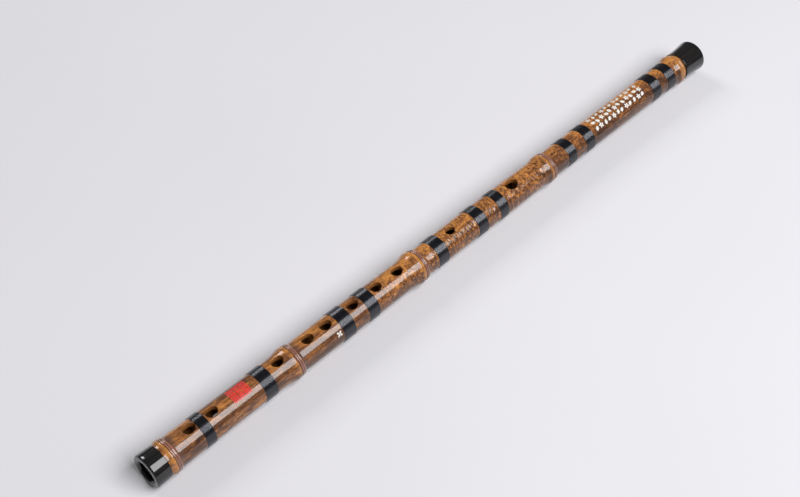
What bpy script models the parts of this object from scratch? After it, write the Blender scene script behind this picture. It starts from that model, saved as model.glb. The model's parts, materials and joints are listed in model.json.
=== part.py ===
"""A dizi, the Chinese transverse flute, in two sections with a brass tuning slide.

Every length below is in millimetres. A place along the flute is its distance from the foot
end face towards the head, and the meshes are scaled to metres as they are made. In the model
+X runs from foot to head, +Z is the side with the blow hole and the finger holes, and the
origin is under the middle of the flute, on the surface that it lies on.
"""

import math

import bmesh
import bpy
from mathutils import Matrix

MM = 0.001

# Overall
LENGTH = 519.5
SIDES = 28
FIT_GAP = 0.3
BORE_RADIUS = 6.8

# The bamboo culm: its bare radius at a few places, straight between them
CULM = ((11.0, 10.9), (40.0, 10.4), (90.0, 10.2), (150.0, 10.35),
        (235.0, 10.0), (295.0, 10.1), (375.0, 9.6), (480.0, 10.1))

# Bamboo nodes: sheath scar, radius at the crest, and length of the swelling on the foot side
NODES = ((14.9, 11.65, 3.7), (110.0, 11.6, 13.0), (218.3, 11.6, 13.0),
         (346.0, 11.05, 12.0), (494.5, 11.5, 8.0))

# A node's outline: shares of the length of its foot side, up to the crest and the scar, then
# millimetres past the scar, over two rings and a neck. Each has its share of the crest's height.
NODE_RISE = ((-1.0, 0.0), (-0.65, 0.22), (-0.4, 0.68), (-0.18, 1.0), (-0.07, 0.95), (0.0, 0.62))
NODE_FALL = ((0.8, 0.86), (1.6, 0.58), (2.4, 0.66), (3.4, 0.06), (5.5, -0.06), (10.0, 0.0))

# Sections and their joint
SEAM = 291.0
TENON_START = 265.0
TENON_END = 303.0
TENON_WALL = 0.6
SOCKET_START = 263.0
SOCKET_WALL = 0.6

# Thread bindings, first and last place of each, from the foot
BINDINGS = ((36.9, 43.8), (82.3, 91.4), (146.1, 155.9), (168.0, 176.9), (231.3, 240.6),
            (269.7, 278.7), (SEAM, 299.1), (363.5, 371.7), (383.2, 391.8),
            (459.5, 468.8), (476.9, 486.2))
BINDING_STAND = 0.3
BINDING_WALL = 0.5
BINDING_ROUND = 0.2

# Holes on the front, each with its place, length along the flute, and width
END_HOLES = ((32.5, 8.8, 7.4), (49.0, 8.8, 7.4))
FINGER_HOLES = ((99.8, 8.8, 7.4), (124.2, 8.8, 7.4), (139.1, 8.8, 7.4),
                (161.8, 8.8, 7.4), (182.3, 8.8, 7.4), (201.1, 8.8, 7.4))
MEMBRANE_HOLE = (250.7, 7.6, 6.4)
BLOW_HOLE = (311.3, 10.4, 8.6)

# Two holes on the back, turned from the front line about the flute's axis
BACK_HOLES = ((55.0, 8.0, 7.0), (67.0, 8.0, 7.0))
BACK_HOLE_TURN = 155.0
HOLE_SIDES = 20

# Turned horn caps
SPIGOT_RADIUS = 8.9
FOOT_CAP_END = 10.9
FOOT_CAP_NECK_RADIUS = 11.05
FOOT_CAP_RIM_RADIUS = 11.4
FOOT_SPIGOT_START = 3.0
MOUTH_CHAMFER = 1.1
FOOT_CAP_EDGE = 1.3
HEAD_CAP_START = 499.3
HEAD_CAP_NECK_RADIUS = 10.85
HEAD_CAP_RIM_RADIUS = 11.9
HEAD_SPIGOT_END = 511.0
HEAD_CAP_EDGE = 1.0

# Cork that closes the bore behind the blow hole
CORK_FACE = 320.0
CORK_LENGTH = 12.0
CORK_EDGE = 0.5

AXIS_HEIGHT = HEAD_CAP_RIM_RADIUS * math.cos(math.pi / SIDES)


def clear_scene():
    """Remove whatever the scene holds."""
    for item in list(bpy.data.objects):
        bpy.data.objects.remove(item, do_unlink=True)


def between(points, x):
    """Value at x on the broken line through points, level beyond its ends."""
    if x <= points[0][0]:
        return points[0][1]
    for (x0, y0), (x1, y1) in zip(points, points[1:]):
        if x <= x1:
            return y0 + (y1 - y0) * (x - x0) / (x1 - x0)
    return points[-1][1]


def arc(centre_x, centre_r, radius, first, last, steps):
    """Points of an arc in the plane of x and radius, angles in degrees from +X outwards."""
    points = []
    for step in range(steps + 1):
        angle = math.radians(first + (last - first) * step / steps)
        points.append((centre_x + radius * math.cos(angle), centre_r + radius * math.sin(angle)))
    return points


def node_outline(scar, rise):
    """Places and crest shares of one node, foot side first."""
    return ([(scar + share * rise, height) for share, height in NODE_RISE]
            + [(scar + past, height) for past, height in NODE_FALL])


def culm_radius(x):
    """Outer radius of the bare bamboo at x, with the swelling of its nodes."""
    radius = between(CULM, x)
    for scar, crest, rise in NODES:
        radius += (crest - between(CULM, scar)) * between(node_outline(scar, rise), x)
    return radius


def binding_radius(first, last):
    """Outer radius of the binding from first to last."""
    return culm_radius((first + last) / 2) + BINDING_STAND


def culm_outline(start, end):
    """Outside of the bamboo from start to end, with the shallow seats turned for the bindings."""
    places = {start, end}
    for scar, _, rise in NODES:
        places.update(x for x, _ in node_outline(scar, rise))
    places.update(x for x, _ in CULM)
    seats = [(first - FIT_GAP, last + FIT_GAP,
              binding_radius(first, last) - BINDING_WALL - FIT_GAP) for first, last in BINDINGS]
    seats = [(max(first, start), last, depth) for first, last, depth in seats
             if last > start and first < end]
    outline = [(x, culm_radius(x)) for x in places if start <= x <= end
               and not any(first <= x <= last for first, last, _ in seats)]
    for first, last, depth in seats:
        if first > start:
            outline.append((first, culm_radius(first)))
        outline += [(first, depth), (last, depth), (last, culm_radius(last))]
    steps = {first for first, _, _ in seats}
    outline.sort(key=lambda point: (point[0], -point[1] if point[0] in steps else point[1]))
    return outline


def turned(name, profile, bored):
    """Spin a profile of (x, radius) points about the flute's axis into a closed mesh.

    A bored piece has a profile that closes on itself. A solid piece has one that starts and
    ends on the axis. A flat of the many-sided piece faces straight down.
    """
    form = bmesh.new()
    half_side = math.pi / SIDES
    start_x = profile[0][0]
    rim = [form.verts.new(((x - start_x) * MM, math.sin(half_side) * radius * MM,
                           math.cos(half_side) * radius * MM)) for x, radius in profile]
    edges = [form.edges.new(pair) for pair in zip(rim, rim[1:])]
    if bored:
        edges.append(form.edges.new((rim[-1], rim[0])))
    bmesh.ops.spin(form, geom=rim + edges, axis=(1.0, 0.0, 0.0), cent=(0.0, 0.0, 0.0),
                   angle=2 * math.pi, steps=SIDES, use_merge=True)
    bmesh.ops.remove_doubles(form, verts=form.verts, dist=0.00001)
    bmesh.ops.recalc_face_normals(form, faces=form.faces)
    mesh = bpy.data.meshes.new(name)
    form.to_mesh(mesh)
    form.free()
    mesh.shade_smooth()
    mesh.set_sharp_from_angle(angle=math.radians(30))
    return mesh, start_x


def material(name, colour, roughness, metallic=0.0):
    """A Principled material."""
    finish = bpy.data.materials.new(name)
    finish.use_nodes = True
    shader = finish.node_tree.nodes["Principled BSDF"]
    shader.inputs["Base Color"].default_value = (*colour, 1.0)
    shader.inputs["Roughness"].default_value = roughness
    shader.inputs["Metallic"].default_value = metallic
    finish.diffuse_color = (*colour, 1.0)
    return finish


def empty(name, x, parent=None):
    """An empty on the flute's axis at x."""
    marker = bpy.data.objects.new(name, None)
    marker.empty_display_size = 0.02
    bpy.context.collection.objects.link(marker)
    place(marker, x, parent)
    return marker


def place(item, x, parent):
    """Put an object's origin on the flute's axis at x, under its parent."""
    if parent is None:
        item.location = ((x - LENGTH / 2) * MM, 0.0, AXIS_HEIGHT * MM)
        return
    item.parent = parent
    item.location = ((x - parent["place"]) * MM, 0.0, 0.0)


def section(name, x, parent=None):
    """An empty that carries one section, and remembers its place."""
    marker = empty(name, x, parent)
    marker["place"] = x
    return marker


def piece(name, profile, finish, parent, bored=True):
    """One turned piece of the flute."""
    mesh, start_x = turned(name, profile, bored)
    item = bpy.data.objects.new(name, mesh)
    bpy.context.collection.objects.link(item)
    item.data.materials.append(finish)
    place(item, start_x, parent)
    return item


def cut_holes(tube, holes, parent):
    """Cut oval holes through one wall of a tube.

    Each hole is its place, length and width, with the turn of its side about the axis.
    """
    form = bmesh.new()
    inner, outer = BORE_RADIUS * 0.45, BORE_RADIUS * 2.0
    for (x, length, width), turn in holes:
        stand = (Matrix.Rotation(math.radians(-turn), 4, "X")
                 @ Matrix.Translation(((x - parent["place"]) * MM, 0.0, (inner + outer) / 2 * MM))
                 @ Matrix.Diagonal((length * MM, width * MM, (outer - inner) * MM, 1.0)))
        bmesh.ops.create_cone(form, cap_ends=True, segments=HOLE_SIDES, radius1=0.5,
                              radius2=0.5, depth=1.0, matrix=stand)
    name = tube.name + "_hole_cutters"
    mesh = bpy.data.meshes.new(name)
    form.to_mesh(mesh)
    form.free()
    cutter = bpy.data.objects.new(name, mesh)
    bpy.context.collection.objects.link(cutter)
    cutter.parent = parent
    cutter.hide_render = True
    cutter.display_type = "WIRE"
    cut = tube.modifiers.new("holes", "BOOLEAN")
    cut.operation = "DIFFERENCE"
    cut.solver = "EXACT"
    cut.object = cutter


def body_tube_profile():
    """Long section: foot spigot, culm, and the socket bored for the joint."""
    end = SEAM - FIT_GAP
    shoulder = FOOT_CAP_END + FIT_GAP
    socket = socket_outer_radius() + FIT_GAP
    return ([(FOOT_SPIGOT_START, SPIGOT_RADIUS), (shoulder, SPIGOT_RADIUS)]
            + culm_outline(shoulder, end)
            + [(end, socket), (SOCKET_START - FIT_GAP, socket),
               (SOCKET_START - FIT_GAP, BORE_RADIUS), (FOOT_SPIGOT_START, BORE_RADIUS)])


def head_tube_profile():
    """Short section: counterbore for the tenon, culm, and the head spigot."""
    shoulder = HEAD_CAP_START - FIT_GAP
    seat = tenon_radius() + FIT_GAP
    return (culm_outline(SEAM, shoulder)
            + [(shoulder, SPIGOT_RADIUS), (HEAD_SPIGOT_END, SPIGOT_RADIUS),
               (HEAD_SPIGOT_END, BORE_RADIUS), (TENON_END + FIT_GAP, BORE_RADIUS),
               (TENON_END + FIT_GAP, seat), (SEAM, seat)])


def tenon_radius():
    """Outer radius of the brass tenon."""
    return BORE_RADIUS + TENON_WALL


def socket_outer_radius():
    """Outer radius of the brass socket that the tenon slides in."""
    return tenon_radius() + FIT_GAP + SOCKET_WALL


def sleeve_profile(first, last, inner, outer, edge):
    """A plain sleeve with its two outer edges broken."""
    return [(first, inner), (first, outer - edge), (first + edge, outer),
            (last - edge, outer), (last, outer - edge), (last, inner)]


def foot_cap_profile():
    """Open cap: chamfered mouth, rounded rim, slight taper to the neck, and its socket."""
    socket = SPIGOT_RADIUS + FIT_GAP
    floor = FOOT_SPIGOT_START - FIT_GAP
    return ([(MOUTH_CHAMFER, BORE_RADIUS), (0.0, BORE_RADIUS + MOUTH_CHAMFER)]
            + arc(FOOT_CAP_EDGE, FOOT_CAP_RIM_RADIUS - FOOT_CAP_EDGE, FOOT_CAP_EDGE, 180, 90, 3)
            + [(FOOT_CAP_END, FOOT_CAP_NECK_RADIUS), (FOOT_CAP_END, socket),
               (floor, socket), (floor, BORE_RADIUS)])


def head_cap_profile():
    """Closed cap: a neck that flares in a hollow curve to a rounded rim and a flat end."""
    socket = SPIGOT_RADIUS + FIT_GAP
    floor = HEAD_SPIGOT_END + FIT_GAP
    flare_end = LENGTH - HEAD_CAP_EDGE
    flare = []
    steps = 6
    for step in range(steps):
        share = step / steps
        flare.append((HEAD_CAP_START + share * (flare_end - HEAD_CAP_START),
                      HEAD_CAP_NECK_RADIUS
                      + (HEAD_CAP_RIM_RADIUS - HEAD_CAP_NECK_RADIUS) * share * share))
    return ([(floor, 0.0), (floor, socket), (HEAD_CAP_START, socket)] + flare
            + arc(flare_end, HEAD_CAP_RIM_RADIUS - HEAD_CAP_EDGE, HEAD_CAP_EDGE, 90, 0, 3)
            + [(LENGTH, 0.0)])


def cork_profile():
    """Plain stopper with both edges broken."""
    radius = BORE_RADIUS - FIT_GAP
    back = CORK_FACE + CORK_LENGTH
    return [(CORK_FACE, 0.0), (CORK_FACE, radius - CORK_EDGE), (CORK_FACE + CORK_EDGE, radius),
            (back - CORK_EDGE, radius), (back, radius - CORK_EDGE), (back, 0.0)]


def build():
    """Make every piece of the flute on the section that carries it."""
    clear_scene()
    bamboo = material("lacquered_bamboo", (0.30, 0.13, 0.045), 0.28)
    thread = material("black_thread", (0.018, 0.019, 0.022), 0.25)
    horn = material("black_horn", (0.016, 0.014, 0.013), 0.18)
    brass = material("brass", (0.78, 0.56, 0.24), 0.22, 1.0)
    cork = material("cork", (0.52, 0.34, 0.19), 0.85)

    body = section("body_section", 0.0)
    tenon = section("tenon", SEAM, body)
    head = section("head_section", SEAM, tenon)

    body_tube = piece("body_tube", body_tube_profile(), bamboo, body)
    cut_holes(body_tube, [(hole, 0.0) for hole in END_HOLES + FINGER_HOLES + (MEMBRANE_HOLE,)]
              + [(hole, BACK_HOLE_TURN) for hole in BACK_HOLES], body)
    head_tube = piece("head_tube", head_tube_profile(), bamboo, head)
    cut_holes(head_tube, [(BLOW_HOLE, 0.0)], head)

    piece("foot_cap", foot_cap_profile(), horn, body)
    piece("head_cap", head_cap_profile(), horn, head, bored=False)
    piece("stopper_cork", cork_profile(), cork, head, bored=False)
    piece("tuning_tenon", sleeve_profile(TENON_START, TENON_END, BORE_RADIUS, tenon_radius(), 0.2),
          brass, tenon)
    piece("tenon_socket", sleeve_profile(SOCKET_START, SEAM - FIT_GAP, tenon_radius() + FIT_GAP,
                                         socket_outer_radius(), 0.2), brass, body)

    for number, (first, last) in enumerate(BINDINGS, 1):
        outer = binding_radius(first, last)
        carrier = body if last < SEAM else head
        piece("thread_binding_%02d" % number,
              sleeve_profile(first, last, outer - BINDING_WALL, outer, BINDING_ROUND),
              thread, carrier)


build()
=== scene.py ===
"""The finished surfaces of a dizi, the Chinese transverse flute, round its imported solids.

Sizes are in millimetres. A place along the flute is its distance from the foot end face
towards the head, an angle round it starts at the line of finger holes and grows towards +Y,
and `points_at` turns places, angles and radii into metres in the frame of the solids.
"""

import json
import math

import bmesh
import bpy
import numpy as np
from mathutils import Matrix, Vector, noise

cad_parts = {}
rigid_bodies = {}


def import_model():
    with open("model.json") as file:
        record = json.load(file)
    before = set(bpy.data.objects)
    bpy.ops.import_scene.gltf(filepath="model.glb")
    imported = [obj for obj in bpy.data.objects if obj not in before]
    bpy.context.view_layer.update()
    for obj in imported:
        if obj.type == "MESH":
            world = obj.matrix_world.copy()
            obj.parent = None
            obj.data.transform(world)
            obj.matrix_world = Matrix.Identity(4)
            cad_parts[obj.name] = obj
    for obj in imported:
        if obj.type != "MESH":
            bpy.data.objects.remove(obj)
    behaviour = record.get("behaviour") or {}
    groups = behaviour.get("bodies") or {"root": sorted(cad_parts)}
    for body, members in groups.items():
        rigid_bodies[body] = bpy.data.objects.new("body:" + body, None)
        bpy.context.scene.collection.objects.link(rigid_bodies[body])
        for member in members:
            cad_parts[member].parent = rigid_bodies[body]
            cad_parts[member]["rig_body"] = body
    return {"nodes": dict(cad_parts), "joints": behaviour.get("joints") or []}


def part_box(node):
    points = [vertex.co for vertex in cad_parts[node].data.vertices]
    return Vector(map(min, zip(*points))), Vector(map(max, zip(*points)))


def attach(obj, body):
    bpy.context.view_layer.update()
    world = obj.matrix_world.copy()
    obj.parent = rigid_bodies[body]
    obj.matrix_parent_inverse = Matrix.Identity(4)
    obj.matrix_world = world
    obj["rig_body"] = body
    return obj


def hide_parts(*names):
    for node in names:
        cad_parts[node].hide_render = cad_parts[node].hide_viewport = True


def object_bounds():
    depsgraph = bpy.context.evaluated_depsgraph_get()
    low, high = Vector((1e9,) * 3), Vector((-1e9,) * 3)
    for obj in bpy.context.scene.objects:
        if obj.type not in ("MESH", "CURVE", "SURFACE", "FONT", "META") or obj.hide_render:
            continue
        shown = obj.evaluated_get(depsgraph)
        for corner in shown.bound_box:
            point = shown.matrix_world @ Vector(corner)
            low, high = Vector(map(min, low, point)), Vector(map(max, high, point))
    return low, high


MM = 0.001

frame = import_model()
cad_low, cad_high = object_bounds()

LENGTH = (cad_high.x - cad_low.x) / MM
AXIS_HEIGHT = [joint["pos_m"][2] for joint in frame["joints"] if joint["type"] == "hinge"][0] / MM

# Flat sides of each round solid
CAD_SIDES = 28

# The bore, and the bamboo's rough thickness round it
BORE_RADIUS = 6.8
WALL = 3.5

# Fits: a glued joint, the clearance round the tenon and past the ends of the brass, and the
# length over which an outline steps from one radius to another
GLUED_FIT = 0.02
BRASS_CLEARANCE = 0.3
STEP = 0.01

# The bamboo culm: bare radius at a few places, and its usual radius
CULM = ((11.0, 10.9), (40.0, 10.4), (90.0, 10.2), (150.0, 10.35),
        (235.0, 10.0), (295.0, 10.1), (375.0, 9.6), (480.0, 10.1))
USUAL_RADIUS = 10.0

# Its slight ovality, whose phase shifts by so many radians a millimetre, and the depth and the
# sizes along and round the culm of its slow waves and its small dints
OVALITY = 0.05
OVAL_SHIFT = 0.011
WAVE_DEPTH = 0.035
WAVE_SIZE = (14.0, 6.0)
DINT_DEPTH = 0.11
DINT_SIZE = (1.6, 2.6)

# Stretches of the flute over which the bamboo changes
MOUTH_ENDS = (10.5, 12.0)
FOOT_FADES = (150.0, 200.0)
UNEVEN_BEGINS = (178.0, 226.0)
DINTS_DEEPEN = (236.0, 290.0)
DIMPLES_DEEPEN = (258.0, 290.0)
HEAD_BEGINS = (335.0, 350.0)
RINGS_TURN_GOLD = (485.0, 492.0)

# Bamboo nodes: sheath scar, radius at the crest, length of the swelling on the foot side
NODES = ((14.9, 11.65, 3.7), (110.0, 11.6, 13.0), (218.3, 11.6, 13.0),
         (346.0, 11.05, 12.0), (494.5, 11.5, 8.0))

# A node's grooves in millimetres past the scar, and how far its rings waver
RING_GROOVE = 1.62
NECK_GROOVE = 3.35
NODE_WAVE = 0.28

# A node's outline: shares of the length of its foot side up to the scar, then millimetres
# past the scar, over two rings and a neck. Each has its share of the crest's height.
NODE_RISE = ((-1.0, 0.0), (-0.82, 0.06), (-0.62, 0.27), (-0.4, 0.68), (-0.27, 0.92),
             (-0.17, 1.0), (-0.07, 0.95), (-0.025, 0.86), (0.0, 0.62))
NODE_FALL = ((0.35, 0.80), (0.85, 0.87), (1.35, 0.72), (RING_GROOVE, 0.58), (2.0, 0.66),
             (2.5, 0.66), (3.0, 0.42), (3.6, 0.07), (4.6, -0.05), (6.0, -0.06), (10.0, 0.0))

# A node's colours in millimetres past the scar: where its crest turns golden, where its rings
# and its ashen neck begin and end, and its dark lines' places, strengths and widths
CREST_GILDS = (-3.6, -1.2)
RINGS_BEGIN, RINGS_END = (0.1, 0.4), (3.5, 2.8)
NECK_BEGINS, NECK_ENDS = (2.8, 3.5), (8.0, 4.6)
DARK_LINES = ((0.0, 1.0, 0.3), (RING_GROOVE, 0.75, 0.3), (NECK_GROOVE, 0.6, 0.35))

# How golden each node's crest is, and how ashen its neck
GILDED = (0.95, 0.3, 0.85, 0.7, 0.8)
ASHEN_NECKS = (1.0, 1.0, 0.35, 0.1, 0.5)

# Depths under the culm's surface between which a cut wall begins, and radii for the bore
WALL_BEGINS = (0.12, 0.42)
BORE_BEGINS = (BORE_RADIUS + 0.5, BORE_RADIUS + 0.05)

# Holes: place, length along the flute, width, and angle round it in degrees
FRONT_HOLES = [(x, 8.8, 7.4, 0.0) for x in (32.5, 49.0, 99.8, 124.2, 139.1, 161.8, 182.3, 201.1)]
MEMBRANE_HOLE = (250.7, 7.6, 6.4, 0.0)
BACK_HOLES = [(x, 8.0, 7.0, 155.0) for x in (55.0, 67.0)]
BLOW_HOLE = (311.3, 10.4, 8.6, 0.0)

# A hole's rim: its round, the tilts of the round's points in degrees, the straight flare that
# carries the cut clear of the bamboo, and how far the wall stands inside the hole's size
RIM_ROUND = 0.34
RIM_TILTS = (0, 18, 36, 54, 72)
RIM_FLARE = 0.9
RIM_INSET = 0.14

# Hairline between the two lengths of bamboo when the slide is in
SEAM_GAP = 0.06

# Thread bindings, and the seats turned for them. A seat reaches a glued fit past its binding.
BINDINGS = ["thread_binding_%02d" % number for number in range(1, 12)]
BODY_BINDINGS, HEAD_BINDINGS = BINDINGS[:6], BINDINGS[6:]
THREAD_PITCH = 0.42
THREAD_DEPTH = 0.058
SLEEVE_WALL = 0.5
SEAT_DEPTH = SLEEVE_WALL + GLUED_FIT
SEAT_FLOOR_REACH = 0.019

# Horn caps: radius of the bamboo's turned ends and of the sockets over them, the round of the
# necks' edges, the place of the foot cap's floor, and the necks' radii
SPIGOT_RADIUS = 8.9
CAP_SOCKET_RADIUS = SPIGOT_RADIUS + GLUED_FIT
CAP_EDGE = 0.25
FOOT_CAP_FLOOR = 2.98
FOOT_CAP_NECK_RADIUS = 11.05
HEAD_CAP_NECK_RADIUS = 10.85

BRASS_SOCKET_WALL = 0.6


def x_at(place):
    """X in metres of a place along the flute."""
    return (place - LENGTH / 2) * MM


def points_at(x, angle, radius):
    """Points in metres, one row each, of places, angles in radians and radii."""
    x, angle, radius = np.broadcast_arrays(x, angle, radius)
    return np.stack([x_at(x), radius * np.sin(angle) * MM,
                     (AXIS_HEIGHT + radius * np.cos(angle)) * MM], axis=-1)


def places_of(mesh):
    """Place, angle and radius of each vertex of a mesh."""
    co = np.empty(len(mesh.vertices) * 3)
    mesh.vertices.foreach_get("co", co)
    co = co.reshape(-1, 3) / MM
    y, z = co[:, 1], co[:, 2] - AXIS_HEIGHT
    return co[:, 0] + LENGTH / 2, np.arctan2(y, z), np.hypot(y, z)


def span(node):
    """First and last place of a CAD node, and its greatest radius."""
    low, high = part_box(node)
    radius = (high.y - low.y) / 2 / MM / math.cos(math.pi / CAD_SIDES)
    return low.x / MM + LENGTH / 2, high.x / MM + LENGTH / 2, radius


def smooth_line(points, x):
    """Value at each x on a smooth line through points that never overshoots them."""
    places, values = np.array(points, float).T
    steps = np.diff(places)
    slopes = np.diff(values) / steps
    tangents = np.zeros(len(places))
    for k in range(1, len(places) - 1):
        before, after = slopes[k - 1], slopes[k]
        if before * after > 0:
            tangents[k] = 2 * before * after / (before + after)
    x = np.clip(x, places[0], places[-1])
    k = np.clip(np.searchsorted(places, x, side="right") - 1, 0, len(steps) - 1)
    t = (x - places[k]) / steps[k]
    return (values[k] * (1 + 2 * t) * (1 - t) ** 2 + values[k + 1] * t * t * (3 - 2 * t)
            + steps[k] * t * (1 - t) * (tangents[k] * (1 - t) - tangents[k + 1] * t))


def fade(x, start, end):
    """0 before start and 1 after end, smooth between. start may lie past end."""
    t = np.clip((x - start) / (end - start), 0, 1)
    return t * t * (3 - 2 * t)


def grain(x, angle, along, around, seed):
    """Smooth noise from -1 to 1 over the culm, with features of the two sizes in mm."""
    x, angle = np.broadcast_arrays(x, angle)
    girth = USUAL_RADIUS / around
    rows = zip(x.ravel() / along, girth * np.sin(angle).ravel(), girth * np.cos(angle).ravel())
    offset = Vector((seed * 17.3, seed * 5.1, seed * 9.7))
    return np.array([noise.noise(Vector(row) + offset) for row in rows]).reshape(x.shape)


def node_share(x, angle, number):
    """Share of one node's crest height at a point, and how far the point is past its scar.

    The node's rings waver a little round the culm.
    """
    scar, _, rise = NODES[number]
    wave = NODE_WAVE * (np.sin(angle + 1.9 * number) * 0.6 + np.sin(2 * angle + 2.7 * number) * 0.4)
    outline = [(share * rise, height) for share, height in NODE_RISE] + list(NODE_FALL)
    past = x + wave - scar
    return smooth_line(outline, past), past


def culm_radius(x, angle):
    """Outer radius of the bamboo, with its nodes and its slight ovality."""
    x, angle = np.broadcast_arrays(x, angle)
    radius = smooth_line(CULM, x) + OVALITY * np.cos(2 * angle + x * OVAL_SHIFT)
    for number, (scar, crest, _) in enumerate(NODES):
        share, _ = node_share(x, angle, number)
        radius = radius + (crest - smooth_line(CULM, scar)) * share
    return radius


def dints(x, angle):
    """The culm's small unevenness, within -1 to 1, strong from the third node to the fourth."""
    share = 0.03 + 0.25 * fade(x, *UNEVEN_BEGINS) + 0.62 * fade(x, *DINTS_DEEPEN)
    return share * (1 - 0.5 * fade(x, *HEAD_BEGINS)) * grain(x, angle, *DINT_SIZE, seed=2)


def culm_surface(x, angle):
    """The culm's radius with its slow waves and its dints."""
    return (culm_radius(x, angle) + WAVE_DEPTH * grain(x, angle, *WAVE_SIZE, seed=1)
            + DINT_DEPTH * dints(x, angle))


# Meshes

def link(name, mesh):
    """A new object for a mesh."""
    item = bpy.data.objects.new(name, mesh)
    bpy.context.scene.collection.objects.link(item)
    return item


def finish_mesh(mesh, sharp=35):
    """Smooth shading that breaks at edges sharper than an angle in degrees."""
    mesh.validate()
    mesh.shade_smooth()
    mesh.set_sharp_from_angle(angle=math.radians(sharp))


def angles_round(sides):
    """Angles of evenly spaced points round a circle."""
    return np.arange(sides) * 2 * math.pi / sides


def lathed(name, rings, looped):
    """An object from rings of points, each ring an array of equal length round the axis.

    Looped rings close on themselves as a tube's section does. Otherwise the first and the
    last ring are closed with a fan to a point on the axis.
    """
    count, sides = len(rings), len(rings[0])
    verts = np.concatenate(rings)
    index = np.arange(count * sides).reshape(count, sides)
    following = np.roll(index, -1, axis=1)
    pairs = range(count) if looped else range(count - 1)
    faces = []
    for i in pairs:
        k = (i + 1) % count
        faces += np.stack([index[i], index[k], following[k], following[i]], axis=-1).tolist()
    if not looped:
        tips = [rings[0].mean(axis=0), rings[-1].mean(axis=0)]
        verts = np.concatenate([verts, tips])
        faces += [[count * sides, a, b] for a, b in zip(index[0], following[0])]
        faces += [[count * sides + 1, b, a] for a, b in zip(index[-1], following[-1])]
    mesh = bpy.data.meshes.new(name)
    mesh.from_pydata(verts.tolist(), [], faces)
    finish_mesh(mesh)
    return link(name, mesh)


def turned(name, profile, sides, looped=True):
    """A round piece from a profile of (place, radius)."""
    angles = angles_round(sides)
    return lathed(name, [points_at(x, angles, radius) for x, radius in profile], looped)


def arc(centre_x, centre_r, radius, first, last, steps):
    """Points of an arc in the plane of place and radius, angles in degrees from +X outwards."""
    angles = np.radians(np.linspace(first, last, steps + 1))
    return [(centre_x + radius * math.cos(a), centre_r + radius * math.sin(a)) for a in angles]


def straight(start, end, radius, step=3.0):
    """Profile points from start to end at one radius, about a step apart."""
    count = max(2, round(abs(end - start) / step) + 1)
    return [(x, radius) for x in np.linspace(start, end, count)]


def culm_places(start, end):
    """Places of the culm's rings: close at the nodes, wider between them."""
    close, wide, least = 0.15, 0.5, 0.1
    rings_middle, rings_reach = 1.2, 3.2
    places = []
    x = start
    while x < end:
        places.append(x)
        near = min(abs(x - scar - rings_middle) for scar, _, _ in NODES)
        x += close if near < rings_reach else wide
    if end - places[-1] < least:
        places.pop()
    return places + [end]


def outside_places(start, end, bindings):
    """Places of a tube's outside rings in order, with a radius where they are on a seat."""
    margin = 0.1
    seats = [(first, last, radius - SEAT_DEPTH) for first, last, radius in map(span, bindings)]
    places = [(x, None) for x in culm_places(start, end)
              if not any(first - margin < x < last + margin for first, last, _ in seats)]
    for first, last, radius in seats:
        if first - GLUED_FIT > start:
            places += [(first - GLUED_FIT, None), (first - SEAT_FLOOR_REACH, radius)]
        else:
            places += [(start, radius)]
        places += straight(first + 1, last - 1, radius, step=1.5)
        places += [(last + SEAT_FLOOR_REACH, radius), (last + GLUED_FIT, None)]
    return sorted(places, key=lambda place: place[0])


def bamboo_tube(name, start, end, before, after, holes, bindings):
    """A bored length of culm, with its seats for the bindings and its cut and rounded holes.

    before and after are the profile points of the turned ends.
    """
    angles = angles_round(96)
    rings = [points_at(x, angles, radius) for x, radius in before]
    for x, seat in outside_places(start, end, bindings):
        radius = culm_surface(x, angles) if seat is None else seat
        rings.append(points_at(x, angles, radius))
    rings += [points_at(x, angles, radius) for x, radius in after]
    tube = lathed(name, rings, looped=True)
    cut(tube, hole_cutter(name + "_cutter", holes))
    paint_places(tube.data)
    return tube


def rounded_rim():
    """A hole's rim, as points of how far out of its wall and how far over the surface."""
    tilts = np.radians(RIM_TILTS)
    rim = [(RIM_ROUND * (1 - math.cos(a)), -RIM_ROUND * (1 - math.sin(a))) for a in tilts]
    last_out, last_up = rim[-1]
    flare = (last_out + RIM_FLARE * math.sin(tilts[-1]), last_up + RIM_FLARE * math.cos(tilts[-1]))
    return rim + [flare]


def hole_rings(x, length, width, turn, sides):
    """Rings of points of the shape that cuts one hole, from inside the bore to over the culm."""
    around = angles_round(sides)
    half_x, half_y = length / 2 - RIM_INSET, width / 2 - RIM_INSET
    oval_x, oval_y = half_x * np.cos(around), half_y * np.sin(around)
    out_x, out_y = np.cos(around) / half_x, np.sin(around) / half_y
    size = np.hypot(out_x, out_y)
    out_x, out_y = out_x / size, out_y / size
    sideways = math.radians(turn)
    rim = rounded_rim()
    bottom, top = 0.4 * BORE_RADIUS, 2 * BORE_RADIUS
    levels = [(0.0, None, bottom)] + [(out, lift, None) for out, lift in rim]
    levels.append((rim[-1][0], None, top))
    rings = []
    for out, lift, level in levels:
        at_x, at_y = oval_x + out_x * out, oval_y + out_y * out
        if lift is None:
            height = np.full(sides, level)
        else:
            angle = sideways + np.arctan2(at_y, BORE_RADIUS + WALL)
            surface = culm_surface(x + at_x, angle)
            height = np.sqrt(surface ** 2 - at_y ** 2) + lift
        y = at_y * math.cos(sideways) + height * math.sin(sideways)
        z = height * math.cos(sideways) - at_y * math.sin(sideways)
        rings.append(np.stack([x_at(x + at_x), y * MM, (AXIS_HEIGHT + z) * MM], axis=-1))
    return rings


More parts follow.
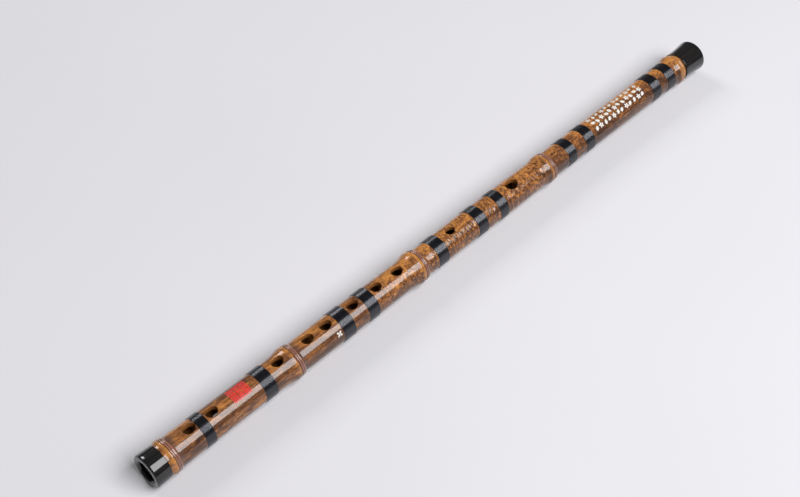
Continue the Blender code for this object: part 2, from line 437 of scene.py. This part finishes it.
def hole_cutter(name, holes):
    """Closed shapes that cut oval holes and round their rims evenly over the curved surface."""
    sides = 56
    verts, faces = [], []
    for hole in holes:
        rings = hole_rings(*hole, sides)
        start = len(verts)
        verts += np.concatenate(rings).tolist()
        top = start + (len(rings) - 1) * sides
        for low in range(start, top, sides):
            high = low + sides
            for j in range(sides):
                k = (j + 1) % sides
                faces.append([low + j, low + k, high + k, high + j])
        faces.append(list(range(start + sides - 1, start - 1, -1)))
        faces.append(list(range(top, top + sides)))
    mesh = bpy.data.meshes.new(name)
    mesh.from_pydata(verts, [], faces)
    mesh.validate()
    return link(name, mesh)


def cut(item, cutter):
    """Take the cutter's shapes out of an item, for good."""
    modifier = item.modifiers.new("holes", "BOOLEAN")
    modifier.operation = "DIFFERENCE"
    modifier.solver = "EXACT"
    modifier.object = cutter
    bpy.context.view_layer.update()
    graph = bpy.context.evaluated_depsgraph_get()
    done = bpy.data.meshes.new_from_object(item.evaluated_get(graph))
    item.modifiers.clear()
    item.data = done
    bpy.data.objects.remove(cutter)
    form = bmesh.new()
    form.from_mesh(done)
    bmesh.ops.dissolve_degenerate(form, dist=0.002 * MM, edges=form.edges)
    many = [face for face in form.faces if len(face.verts) > 4]
    bmesh.ops.triangulate(form, faces=many, quad_method="BEAUTY", ngon_method="BEAUTY")
    form.to_mesh(done)
    form.free()
    finish_mesh(done)


def dark_lines(past):
    """How dark a node's lines are at distances past its scar."""
    return sum(strength * np.exp(-((past - place) / width) ** 2)
               for place, strength, width in DARK_LINES)


def paint_places(mesh):
    """Mark a culm's vertices with where they are: on a cut wall, in the bore, or at a node."""
    x, angle, radius = places_of(mesh)
    marks = {"cut": fade(culm_surface(x, angle) - radius, *WALL_BEGINS),
             "bore": fade(radius, *BORE_BEGINS),
             "dint": dints(x, angle)}
    shown = 1 - marks["cut"]
    for number in range(len(NODES)):
        _, past = node_share(x, angle, number)
        found = {"crest": GILDED[number] * fade(past, *CREST_GILDS) * (past < 0) * shown,
                 "rings": fade(past, *RINGS_BEGIN) * fade(past, *RINGS_END),
                 "scar": dark_lines(past),
                 "neck": ASHEN_NECKS[number] * fade(past, *NECK_BEGINS) * fade(past, *NECK_ENDS)}
        for name, value in found.items():
            marks[name] = np.maximum(marks.get(name, 0.0), value)
    for name, value in marks.items():
        layer = mesh.attributes.new(name, "FLOAT", "POINT")
        layer.data.foreach_set("value", value.astype(np.float32))


def thread_sleeve(name):
    """A binding of fine thread, wound turn by turn, with rounded ends, under its lacquer."""
    first, last, outer = span(name)
    sides, samples, end_round = 72, 6, 0.22
    inner = outer - SLEEVE_WALL
    angles = angles_round(sides)
    outline = arc(first + end_round, outer - end_round, end_round, 180, 110, 3)
    outline += straight(first + end_round, last - end_round, outer, step=THREAD_PITCH / samples)
    outline += arc(last - end_round, outer - end_round, end_round, 70, 0, 3)
    rings = [points_at(first, angles, inner)]
    for x, radius in outline:
        ripple = 0.5 + 0.5 * np.cos(2 * math.pi * x / THREAD_PITCH - angles)
        rings.append(points_at(x, angles, radius - THREAD_DEPTH * ripple))
    rings.append(points_at(last, angles, inner))
    return lathed(name.replace("thread_binding", "binding"), rings, looped=True)


# Shader helpers

class Look:
    """A material whose nodes are added one call at a time."""

    def __init__(self, name, **constants):
        self.material = bpy.data.materials.new(name)
        self.material.use_nodes = True
        self.tree = self.material.node_tree
        self.shader = self.tree.nodes["Principled BSDF"]
        for socket, value in constants.items():
            self.shader.inputs[socket.replace("_", " ")].default_value = value
        self.here = self.add("ShaderNodeTexCoord").outputs["Object"]

    def add(self, kind, inputs=(), **settings):
        """Any node, its settings, and its inputs by name or number: sockets or plain values."""
        made = self.tree.nodes.new(kind)
        for key, value in settings.items():
            setattr(made, key, value)
        for key, value in dict(inputs).items():
            if isinstance(value, bpy.types.NodeSocket):
                self.tree.links.new(value, made.inputs[key])
            else:
                made.inputs[key].default_value = value
        return made

    def math(self, operation, a, b=0.0):
        return self.add("ShaderNodeMath", {0: a, 1: b}, operation=operation).outputs[0]

    def times(self, a, b):
        return self.math("MULTIPLY", a, b)

    def plus(self, a, b):
        return self.math("ADD", a, b)

    def swing(self, value, reach):
        """A value from 0 to 1 made to swing about 0, by half the reach to each side."""
        return self.times(self.math("SUBTRACT", value, 0.5), reach)

    def ranged(self, value, low, high, to_low=0.0, to_high=1.0):
        """value from low..high to to_low..to_high, clamped and smooth."""
        return self.add("ShaderNodeMapRange",
                        {0: value, 1: low, 2: high, 3: to_low, 4: to_high},
                        interpolation_type="SMOOTHSTEP").outputs[0]

    def mark(self, name):
        """A value that the mesh carries at its vertices."""
        return self.add("ShaderNodeAttribute", attribute_name=name).outputs["Fac"]

    def noise(self, scale, detail=4.0, roughness=0.55, distortion=0.0, offset=0.0):
        """Noise, 0 to 1, with a scale per metre for each axis."""
        stretched = self.add("ShaderNodeMapping", {0: self.here, 1: (offset, offset, offset),
                                                   3: scale}).outputs[0]
        return self.add("ShaderNodeTexNoise", {
            "Vector": stretched, "Scale": 1.0, "Detail": detail, "Roughness": roughness,
            "Distortion": distortion}).outputs["Fac"]

    def ramp(self, value, stops):
        """Colour from a value, by stops of (value, colour)."""
        made = self.add("ShaderNodeValToRGB", {0: value})
        band = made.color_ramp.elements
        band.remove(band[1])
        band[0].position = stops[0][0]
        band[0].color = (*stops[0][1], 1.0)
        for place, colour in stops[1:]:
            band.new(place).color = (*colour, 1.0)
        return made.outputs[0]

    def mixed(self, share, a, b):
        """Colour a to colour b by a share."""
        a = (*a, 1.0) if isinstance(a, tuple) else a
        b = (*b, 1.0) if isinstance(b, tuple) else b
        return self.add("ShaderNodeMix", {0: share, 6: a, 7: b}, data_type="RGBA").outputs[2]

    def scaled(self, colour, factor):
        """A colour times a factor."""
        return self.add("ShaderNodeVectorMath", {0: colour, 3: factor},
                        operation="SCALE").outputs[0]

    def coordinate(self, axis):
        """Object coordinate in metres, with 0 for X and 1 for Y."""
        return self.add("ShaderNodeSeparateXYZ", {0: self.here}).outputs[axis]

    def along(self):
        """Place along the flute in mm."""
        return self.plus(self.times(self.coordinate(0), 1 / MM), LENGTH / 2)

    def set(self, **links):
        """Link sockets to the shader's inputs by name."""
        for socket, value in links.items():
            self.tree.links.new(value, self.shader.inputs[socket.replace("_", " ")])

    def bump(self, height, depth):
        """Bump of a height from 0 to 1 over a depth in mm, on the coat too."""
        normal = self.add("ShaderNodeBump", {"Height": height, "Distance": depth * MM,
                                             "Strength": 1.0}).outputs[0]
        self.set(Normal=normal, Coat_Normal=normal)


# Looks

# The bamboo's tones from light to dark
GOLD = (0.61, 0.250, 0.062)
AMBER = (0.318, 0.123, 0.037)
UMBER = (0.148, 0.059, 0.025)
BURNT = (0.059, 0.027, 0.017)

# A node's crest, rings, neck and dark lines
CREST = (0.68, 0.290, 0.080)
RING = (0.31, 0.142, 0.102)
ASHEN = (0.097, 0.059, 0.051)
SCAR = (0.040, 0.017, 0.012)

# A hole's wall, the bore, and the bore's wall at the foot's mouth, the last a dark lining made
# light grey as painted light for the light that reaches into the mouth
CUT_WALL = (0.385, 0.153, 0.040)
BORE = (0.25, 0.102, 0.032)
MOUTH_WALL = (0.148, 0.142, 0.131)

# Scale of the golden mottle, and of the dimples that go with it
MOTTLE_SCALE = (590.0, 370.0, 370.0)
MOTTLE_DISTORTION = 0.4


def bamboo_tone(look, foot, middle, head, streaks, fibre):
    """How dark the bamboo is, from its lightest at 0 to its darkest at 1, out of three zones."""
    patches = look.noise((38.0, 120.0, 120.0), detail=3.0, offset=3.1)
    speckle = look.noise((420.0, 900.0, 900.0), detail=3.0, roughness=0.7, offset=9.1)
    mottle = look.noise(MOTTLE_SCALE, detail=4.0, roughness=0.62, distortion=MOTTLE_DISTORTION)
    ticks = look.noise((210.0, 560.0, 560.0), detail=3.0, roughness=0.6, distortion=0.9,
                       offset=5.3)
    # Painted shade: the bamboo is made darker on its side towards -Y, the more so in the head zone.
    shaded_side = look.times(look.coordinate(1), -1 / (USUAL_RADIUS * MM))
    shaded_side = look.math("MAXIMUM", shaded_side, -0.35)

    def zone(spots, centre, spot_reach, patch_reach, speckle_reach, shade_reach):
        """Tone of one zone: its own spots over large patches, fine speckle and painted shade on the
        side towards -Y.
        """
        rest = look.plus(look.swing(patches, patch_reach), look.swing(speckle, speckle_reach))
        rest = look.plus(rest, look.times(shaded_side, shade_reach))
        return look.plus(look.plus(look.swing(spots, spot_reach), rest), centre)

    dark = zone(streaks, centre=0.46, spot_reach=1.6, patch_reach=1.2, speckle_reach=0.6,
                shade_reach=0.18)
    golden = zone(mottle, centre=0.36, spot_reach=2.0, patch_reach=0.9, speckle_reach=0.8,
                  shade_reach=0.28)
    ticked = zone(ticks, centre=0.38, spot_reach=1.6, patch_reach=0.9, speckle_reach=0.8,
                  shade_reach=0.46)
    tone = look.plus(look.times(dark, foot), look.times(golden, middle))
    tone = look.plus(tone, look.times(ticked, head))
    # Painted shade and light: darker in the dints' hollows and lighter on their tops.
    tone = look.plus(tone, look.times(look.mark("dint"), -0.25))
    return look.plus(tone, look.swing(fibre, 0.2))


def bamboo_nodes(look, colour, place, streaks):
    """A colour with the nodes' golden crests, ashen necks, rings and dark lines over it."""
    gilding = look.times(look.mark("crest"), look.ranged(streaks, 0.35, 0.65, 0.9, 0.5))
    colour = look.mixed(gilding, colour, CREST)
    colour = look.mixed(look.times(look.mark("neck"), 0.6), colour, ASHEN)
    ring = look.mixed(look.ranged(place, *RINGS_TURN_GOLD), RING, CREST)
    colour = look.mixed(look.times(look.mark("rings"), 0.85), colour, ring)
    return look.mixed(look.times(look.mark("scar"), 0.9), colour, SCAR)


def bamboo_wall(look, place, fibre):
    """Colour of the bare bamboo in the holes and the bore."""
    # The mouth's grey wall is a dark lining lightened as painted light, standing in for light that
    # reaches into the mouth.
    bore = look.mixed(look.ranged(place, *MOUTH_ENDS), MOUTH_WALL, BORE)
    wall = look.mixed(look.mark("bore"), CUT_WALL, bore)
    return look.scaled(wall, look.ranged(fibre, 0.2, 0.8, 0.75, 1.15))


def bamboo_relief(look, place, head, fibre):
    """Height of the fibre, and of dimples that deepen in two steps and ease at the head."""
    dimples = look.noise(MOTTLE_SCALE, detail=1.5, distortion=MOTTLE_DISTORTION)
    growth = look.plus(look.ranged(place, *UNEVEN_BEGINS, 0.01, 0.20),
                       look.ranged(place, *DIMPLES_DEEPEN, 0.0, 0.40))
    weight = look.times(growth, look.ranged(head, 0.0, 1.0, 1.0, 0.4))
    return look.plus(look.times(fibre, 0.006), look.times(dimples, weight))


def bamboo_look():
    """Smoked, lacquered bamboo: dark streaks at the foot, golden mottle further on."""
    look = Look("lacquered_bamboo", Specular_IOR_Level=0.05, Coat_Weight=1.0,
                Coat_Roughness=0.10, Coat_IOR=1.53)
    place = look.along()
    foot = look.ranged(place, *FOOT_FADES, 1.0, 0.0)
    head = look.ranged(place, *HEAD_BEGINS)
    middle = look.math("SUBTRACT", 1.0, look.plus(foot, head))
    streaks = look.noise((120.0, 430.0, 430.0), detail=5.0, roughness=0.70, distortion=0.6)
    fibre = look.noise((70.0, 1900.0, 1900.0), detail=3.0)
    tone = bamboo_tone(look, foot, middle, head, streaks, fibre)
    colour = look.ramp(tone, [(0.15, GOLD), (0.42, AMBER), (0.64, UMBER), (0.95, BURNT)])
    colour = bamboo_nodes(look, colour, place, streaks)
    colour = look.mixed(look.mark("cut"), colour, bamboo_wall(look, place, fibre))
    roughness = look.plus(look.times(foot, 0.32), look.times(middle, 0.42))
    roughness = look.plus(roughness, look.times(head, 0.5))
    look.set(Base_Color=colour, Roughness=roughness)
    look.bump(bamboo_relief(look, place, head, fibre), 0.30)
    return look.material


def thread_look():
    """Black thread sunk in gloss lacquer."""
    look = Look("black_thread", IOR=1.64, Specular_Tint=(0.89, 0.91, 1.0, 1.0))
    turns = look.noise((2600.0, 60.0, 60.0), detail=2.0)
    wear = look.noise((240.0, 240.0, 240.0), detail=4.0)
    colour = look.mixed(look.ranged(turns, 0.3, 0.7), (0.003, 0.003, 0.004),
                        (0.008, 0.008, 0.010))
    look.set(Base_Color=colour, Roughness=look.ranged(wear, 0.3, 0.7, 0.16, 0.21))
    look.bump(look.plus(look.times(turns, 0.6), look.times(wear, 0.4)), 0.003)
    return look.material


def horn_look():
    """Polished black horn, with faint grey-brown streaks and turning marks."""
    look = Look("polished_horn", Specular_IOR_Level=0.05, Coat_Weight=1.0, Coat_Roughness=0.05,
                Coat_IOR=1.57)
    streaks = look.noise((45.0, 420.0, 420.0), detail=5.0, roughness=0.6, distortion=0.4)
    turning = look.noise((2200.0, 30.0, 30.0), detail=2.0)
    scuffs = look.noise((500.0, 500.0, 500.0), detail=5.0)
    colour = look.mixed(look.ranged(streaks, 0.45, 0.75), (0.009, 0.0085, 0.0085),
                        (0.022, 0.018, 0.016))
    look.set(Base_Color=colour, Roughness=look.ranged(scuffs, 0.3, 0.75, 0.20, 0.32))
    look.bump(look.plus(look.times(turning, 0.7), look.times(scuffs, 0.3)), 0.002)
    return look.material


def brass_look():
    """Turned brass, a little tarnished."""
    look = Look("turned_brass", Metallic=1.0)
    turning = look.noise((5200.0, 25.0, 25.0), detail=3.0)
    tarnish = look.noise((130.0, 130.0, 130.0), detail=5.0)
    colour = look.mixed(look.ranged(tarnish, 0.42, 0.72), (0.80, 0.58, 0.25), (0.50, 0.31, 0.12))
    look.set(Base_Color=colour, Roughness=look.ranged(tarnish, 0.3, 0.75, 0.18, 0.36))
    look.bump(turning, 0.008)
    return look.material


def cork_look():
    """Cork with dark pores."""
    look = Look("cork", Roughness=0.88)
    grit = look.noise((700.0, 700.0, 700.0), detail=5.0, roughness=0.65)
    pores = look.ranged(look.noise((420.0, 900.0, 900.0), detail=2.0, offset=2.0), 0.62, 0.70)
    colour = look.mixed(look.ranged(grit, 0.3, 0.7), (0.60, 0.40, 0.22), (0.42, 0.26, 0.13))
    colour = look.mixed(look.times(pores, 0.8), colour, (0.12, 0.06, 0.03))
    look.set(Base_Color=colour)
    look.bump(look.math("SUBTRACT", grit, pores), 0.08)
    return look.material


def paint_look(name, colour, worn):
    """Paint on the culm, worn in places."""
    look = Look(name, Roughness=0.34, Specular_IOR_Level=0.3, Coat_Weight=0.2, Coat_Roughness=0.12)
    wear = look.noise((900.0, 900.0, 900.0), detail=4.0, roughness=0.6)
    look.set(Base_Color=look.mixed(look.ranged(wear, 0.45, 0.75), colour, worn))
    look.bump(wear, 0.02)
    return look.material


# Ornament

class Ornament:
    """Painted strokes that lie on the culm, gathered into one mesh."""

    def __init__(self, name, look, body):
        self.name, self.look, self.body = name, look, body
        self.verts, self.faces = [], []

    def stroke(self, points, widths):
        """A stroke along points of (place, distance round from the hole line), in mm."""
        line = np.array(points, float)
        widths = np.array(widths, float)
        ahead = np.gradient(line, axis=0)
        ahead /= np.linalg.norm(ahead, axis=1)[:, None]
        side = np.stack([-ahead[:, 1], ahead[:, 0]], axis=1) * widths[:, None] / 2
        lift = 0.035
        section = ((1, lift * 0.4), (0, lift), (-1, lift * 0.4),
                   (-1, -lift), (0, -lift), (1, -lift))
        rows = []
        for share, rise in section:
            place = line + side * share
            angle = place[:, 1] / smooth_line(CULM, place[:, 0])
            rows.append(points_at(place[:, 0], angle, culm_surface(place[:, 0], angle) + rise))
        start, corners = len(self.verts), len(section)
        last = start + (len(line) - 1) * corners
        self.verts += np.array(rows).transpose(1, 0, 2).reshape(-1, 3).tolist()
        for low in range(start, last, corners):
            high = low + corners
            for j in range(corners):
                k = (j + 1) % corners
                self.faces.append([low + j, high + j, high + k, low + k])
        self.faces.append(list(range(start, start + corners)))
        self.faces.append(list(range(last + corners - 1, last - 1, -1)))

    def line(self, start, end, width):
        """A straight stroke with square ends and a point about every half millimetre."""
        points = np.linspace(start, end, max(2, int(math.dist(start, end) / 0.5) + 1))
        self.stroke(points, [width] * len(points))

    def leaf(self, root, heading, length, width, bend=0.0):
        """A leaf from its root, at an angle in degrees, widest a little before its middle."""
        steps = 9
        shares = np.linspace(0, 1, steps)
        turn = math.radians(heading) + math.radians(bend) * shares
        strides = np.stack([np.cos(turn), np.sin(turn)], axis=1) * length / (steps - 1)
        points = np.array(root) + np.cumsum(strides, axis=0) - strides[0]
        widths = width * np.sin(math.pi * (0.06 + 0.88 * shares) ** 0.85) + 0.05
        self.stroke(points, widths)

    def make(self):
        """The strokes as one piece on its body."""
        mesh = bpy.data.meshes.new(self.name)
        mesh.from_pydata(self.verts, [], self.faces)
        form = bmesh.new()
        form.from_mesh(mesh)
        bmesh.ops.recalc_face_normals(form, faces=form.faces)
        form.to_mesh(mesh)
        form.free()
        finish_mesh(mesh, sharp=50)
        mesh.materials.append(self.look)
        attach(link(self.name, mesh), self.body)


def direction(heading):
    """A step of one millimetre over the culm, at an angle in degrees from straight along it."""
    return np.array([math.cos(math.radians(heading)), math.sin(math.radians(heading))])


def flower(ornament, centre, petals, length, width, turn):
    """Pointed petals about a centre, the first one's heading in degrees."""
    gap = 0.3
    for petal in range(petals):
        heading = turn + petal * 360.0 / petals
        ornament.leaf(np.array(centre) + gap * direction(heading), heading, length, width)


def spray(ornament, centre, heading):
    """A short bent stem with five leaves."""
    back, first, apart, tip = 1.9, 0.6, 0.55, 2.4
    splay, curl = 62, 45
    ahead = direction(heading)
    foot = np.array(centre) - back * ahead
    ornament.leaf(foot, heading - 10, length=2.7, width=0.5, bend=20)
    for number in range(4):
        side = 1 if number % 2 else -1
        root = foot + (first + apart * number) * ahead
        ornament.leaf(root, heading + side * splay, length=1.75, width=1.0, bend=-side * curl)
    ornament.leaf(foot + tip * ahead, heading, length=1.5, width=1.0)


def flower_ornament(look):
    """Three rows of little flowers and leaf sprays on the head section."""
    rows = Ornament("flower_ornament", look, "head_section")
    first, last, step, wander = 398.0, 454.0, 4.7, 0.35
    for row, middle in enumerate((3.7, -1.0, -5.6)):
        for number in range(int((last - first) / step) + 1):
            sway = math.sin(2.4 * number + 1.7 * row)
            centre = (first + step * number + wander * sway,
                      middle + wander * math.cos(3.1 * number + row))
            if (number + row) % 3:
                spray(rows, centre, 90 * ((number * 2 + row) % 4) + 35 + 20 * sway)
            else:
                flower(rows, centre, petals=5, length=1.9, width=1.15,
                       turn=40 * number + 25 * row)
    rows.make()


def seal_ornament(look):
    """A red square, nearly filled: a frame round a basket weave of broad bars."""
    seal = Ornament("seal_ornament", look, "body_section")
    centre, half_x, half_y = 69.5, 6.2, 4.8
    frame_width, overhang, inset = 0.85, 0.4, 0.55
    for sign in (-1, 1):
        seal.line((centre - half_x - overhang, sign * half_y),
                  (centre + half_x + overhang, sign * half_y), frame_width)
        seal.line((centre + sign * half_x, -half_y + inset),
                  (centre + sign * half_x, half_y - inset), frame_width)
    tile_x, tile_y = 3.75, 2.85
    reach_x, reach_y = 1.65, 1.2
    for column in (-1, 0, 1):
        for row in (-1, 0, 1):
            x, y = centre + column * tile_x, row * tile_y
            if (column + row) % 2:
                for shift in (-0.66, 0.66):
                    seal.line((x - reach_x, y + shift), (x + reach_x, y + shift), width=1.08)
            else:
                for shift in (-1.16, 0.0, 1.16):
                    seal.line((x + shift, y - reach_y), (x + shift, y + reach_y), width=0.95)
    seal.make()


def petal_mark(look):
    """A small white four-petalled mark on the camera's side."""
    mark = Ornament("petal_mark", look, "body_section")
    flower(mark, (143.0, -10.4), petals=4, length=2.0, width=1.25, turn=45.0)
    mark.make()


# The flute

def dress(item, node, look, body):
    """Give a piece its look and slot, and put it in a CAD node's stead on its body."""
    item.data.materials.clear()
    item.data.materials.append(look)
    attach(item, body)
    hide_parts(node)


def make_tubes(look):
    """Both lengths of bamboo."""
    _, tenon_end, tenon_radius = span("tuning_tenon")
    socket_start, _, socket_radius = span("tenon_socket")
    tube_start = span("body_tube")[0]
    head_start, head_end, _ = span("head_tube")
    tube_end = head_start - SEAM_GAP
    shoulder = span("foot_cap")[1] + GLUED_FIT
    seat = socket_radius + GLUED_FIT
    before = [(tube_start, SPIGOT_RADIUS)] + straight(tube_start + 1, shoulder, SPIGOT_RADIUS)
    after = [(tube_end, seat)]
    after += straight(tube_end - 0.5, socket_start - BRASS_CLEARANCE, seat, step=4.0)
    after += straight(socket_start - (BRASS_CLEARANCE + STEP), tube_start, BORE_RADIUS, step=4.0)
    body = bamboo_tube("bamboo_body", shoulder + STEP, tube_end - STEP, before, after,
                       FRONT_HOLES + [MEMBRANE_HOLE] + BACK_HOLES, BODY_BINDINGS)
    dress(body, "body_tube", look, "body_section")

    neck = span("head_cap")[0] - GLUED_FIT
    before = straight(tenon_end + BRASS_CLEARANCE, head_start, tenon_radius + BRASS_CLEARANCE)
    after = straight(neck + STEP, head_end, SPIGOT_RADIUS)
    after += straight(head_end, tenon_end + (BRASS_CLEARANCE + STEP), BORE_RADIUS, step=4.0)
    head = bamboo_tube("bamboo_head", head_start + STEP, neck, before, after, [BLOW_HOLE],
                       HEAD_BINDINGS)
    dress(head, "head_tube", look, "head_section")


def make_foot_cap(look):
    """The open horn cap: a chamfered mouth, a rounded rim and a slight taper to its neck."""
    _, end, rim = span("foot_cap")
    edge, chamfer = 1.3, 1.1
    # The mouth's chamfer, with its two corners eased
    profile = [(chamfer + 0.25, BORE_RADIUS), (chamfer, BORE_RADIUS + 0.06),
               (0.12, BORE_RADIUS + chamfer - 0.08), (0.0, BORE_RADIUS + chamfer + 0.1)]
    profile += arc(edge, rim - edge, edge, 180, 90, 10)
    profile += [(x, rim + (FOOT_CAP_NECK_RADIUS - rim) * (x - edge) / (end - edge))
                for x in (4.0, 7.0, 10.0)]
    profile += arc(end - CAP_EDGE, FOOT_CAP_NECK_RADIUS - CAP_EDGE, CAP_EDGE, 90, 0, 4)
    profile += [(end, CAP_SOCKET_RADIUS), (FOOT_CAP_FLOOR, CAP_SOCKET_RADIUS),
                (FOOT_CAP_FLOOR, BORE_RADIUS)]
    cap = turned("horn_foot_cap", profile, 128)
    dress(cap, "foot_cap", look, "body_section")


def make_head_cap(look):
    """The closed horn cap: a neck that flares in a hollow curve to a rounded rim."""
    start, end, _ = span("head_cap")
    rim, edge, centre = AXIS_HEIGHT, 1.0, 0.5
    floor = span("head_tube")[1] + 0.1
    flare = end - edge - start
    profile = [(floor, centre), (floor, CAP_SOCKET_RADIUS), (start, CAP_SOCKET_RADIUS)]
    profile += arc(start + CAP_EDGE, HEAD_CAP_NECK_RADIUS - CAP_EDGE, CAP_EDGE, 180, 90, 4)[:-1]
    profile += [(start + share * flare,
                 HEAD_CAP_NECK_RADIUS + (rim - HEAD_CAP_NECK_RADIUS) * share ** 2)
                for share in np.linspace(0.02, 0.96, 16)]
    profile += arc(end - edge, rim - edge, edge, 84, 0, 8)
    profile += [(end, radius) for radius in (8.0, 5.0, 2.0, centre)]
    cap = turned("horn_head_cap", profile, 128, looped=False)
    dress(cap, "head_cap", look, "head_section")


def make_brass_tube(look, name, node, inner, body):
    """A brass tube with broken edges, in a CAD node's stead."""
    start, end, outer = span(node)
    edge = 0.18
    profile = [(start, inner + edge), (start, outer - edge)]
    profile += straight(start + edge, end - edge, outer)
    profile += [(end, outer - edge), (end, inner + edge)]
    profile += straight(end - edge, start + edge, inner)
    dress(turned(name, profile, 96), node, look, body)


def make_joint(look):
    """The brass tenon, and the brass socket that it slides in."""
    make_brass_tube(look, "brass_tenon", "tuning_tenon", BORE_RADIUS, "tenon")
    socket_bore = span("tenon_socket")[2] - BRASS_SOCKET_WALL
    make_brass_tube(look, "brass_socket", "tenon_socket", socket_bore, "body_section")


def make_cork(look):
    """The cork that closes the bore past the blow hole."""
    start, end, _ = span("stopper_cork")
    radius, edge, face, centre = BORE_RADIUS - GLUED_FIT, 0.5, 3.0, 0.4
    profile = [(start, centre), (start, face)]
    profile += arc(start + edge, radius - edge, edge, 180, 90, 4)
    profile += straight(start + 2, end - 2, radius)
    profile += arc(end - edge, radius - edge, edge, 90, 0, 4)
    profile += [(end, face), (end, centre)]
    cork = turned("cork_stopper", profile, 64, looped=False)
    dress(cork, "stopper_cork", look, "head_section")


def make_bindings(look):
    """All the thread bindings."""
    for name in BINDINGS:
        dress(thread_sleeve(name), name, look, frame["nodes"][name]["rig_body"])


# Stage, with its sizes in metres

def make_floor():
    """Pale floor that looks darker to diffuse light, so that it lights the flute less."""
    look = Look("pale_floor", Roughness=0.75, Specular_IOR_Level=0.2)
    cloud = look.noise((3.0, 3.0, 3.0), detail=2.0)
    seen = look.add("ShaderNodeLightPath").outputs
    seen = look.plus(look.plus(seen["Is Camera Ray"], seen["Is Glossy Ray"]),
                     seen["Is Transmission Ray"])
    pale = look.mixed(cloud, (0.73, 0.72, 0.748), (0.785, 0.775, 0.803))
    look.set(Base_Color=look.mixed(seen, (0.26, 0.26, 0.27), pale))
    reach = 12.0
    corners = [(-reach, -reach, 0), (reach, -reach, 0), (reach, reach, 0), (-reach, reach, 0)]
    mesh = bpy.data.meshes.new("floor")
    mesh.from_pydata(corners, [], [(0, 1, 2, 3)])
    mesh.materials.append(look.material)
    link("floor", mesh)


def make_world():
    """A dim, slightly cool world."""
    world = bpy.data.worlds.new("studio")
    world.use_nodes = True
    background = world.node_tree.nodes["Background"]
    background.inputs["Color"].default_value = (0.95, 0.97, 1.0, 1.0)
    background.inputs["Strength"].default_value = 0.09
    bpy.context.scene.world = world


def aimed(item, place, target):
    """Put an item at a place, with its -Z towards a target."""
    item.location = place
    item.rotation_euler = (Vector(target) - Vector(place)).to_track_quat("-Z", "Y").to_euler()


def softbox(name, along, tilt, size, radiance, colour):
    """An area light over the flute, aimed under its axis and hidden from the camera.

    along is its distance from the flute's middle, and tilt its angle from overhead towards -Y.
    """
    distance = 2.4
    lamp = bpy.data.lights.new(name, "AREA")
    lamp.shape = "RECTANGLE"
    lamp.size, lamp.size_y = size
    lamp.energy = radiance * math.pi * size[0] * size[1]
    lamp.color = colour
    item = bpy.data.objects.new(name, lamp)
    item.visible_camera = False
    bpy.context.scene.collection.objects.link(item)
    tilt = math.radians(tilt)
    aimed(item, (along, -distance * math.sin(tilt), distance * math.cos(tilt)), (along, 0.0, 0.0))


def make_lights():
    """A broad key light on the camera's side and a smaller one behind."""
    softbox("key_light", along=0.44, tilt=37.0, size=(1.92, 1.66), radiance=7.2,
            colour=(0.99, 0.99, 1.0))
    softbox("back_light", along=0.0, tilt=-55.0, size=(0.76, 0.90), radiance=7.9,
            colour=(1.0, 0.99, 0.99))


def make_camera():
    """The camera at the photograph's viewing angle."""
    data = bpy.data.cameras.new("camera")
    data.lens, data.sensor_width = 58.5, 36.0
    camera = bpy.data.objects.new("camera", data)
    bpy.context.scene.collection.objects.link(camera)
    place = Vector((-0.449, -0.369, 0.643))
    right = Vector((0.6993, -0.7147, 0.0185)).normalized()
    forward = Vector((0.4863, 0.4566, -0.7451)).normalized()
    axes = Matrix((right, right.cross(forward), -forward)).transposed().to_4x4()
    camera.matrix_world = Matrix.Translation(place) @ axes
    bpy.context.scene.camera = camera


def build():
    """Every piece, then the stage."""
    make_tubes(bamboo_look())
    horn = horn_look()
    make_foot_cap(horn)
    make_head_cap(horn)
    make_joint(brass_look())
    make_cork(cork_look())
    make_bindings(thread_look())
    white = paint_look("white_paint", (0.86, 0.85, 0.81), (0.66, 0.60, 0.50))
    flower_ornament(white)
    petal_mark(white)
    seal_ornament(paint_look("red_paint", (0.82, 0.040, 0.042), (0.60, 0.045, 0.030)))
    make_floor()
    make_world()
    make_lights()
    make_camera()
    bpy.context.scene.view_settings.view_transform = "Standard"


build()
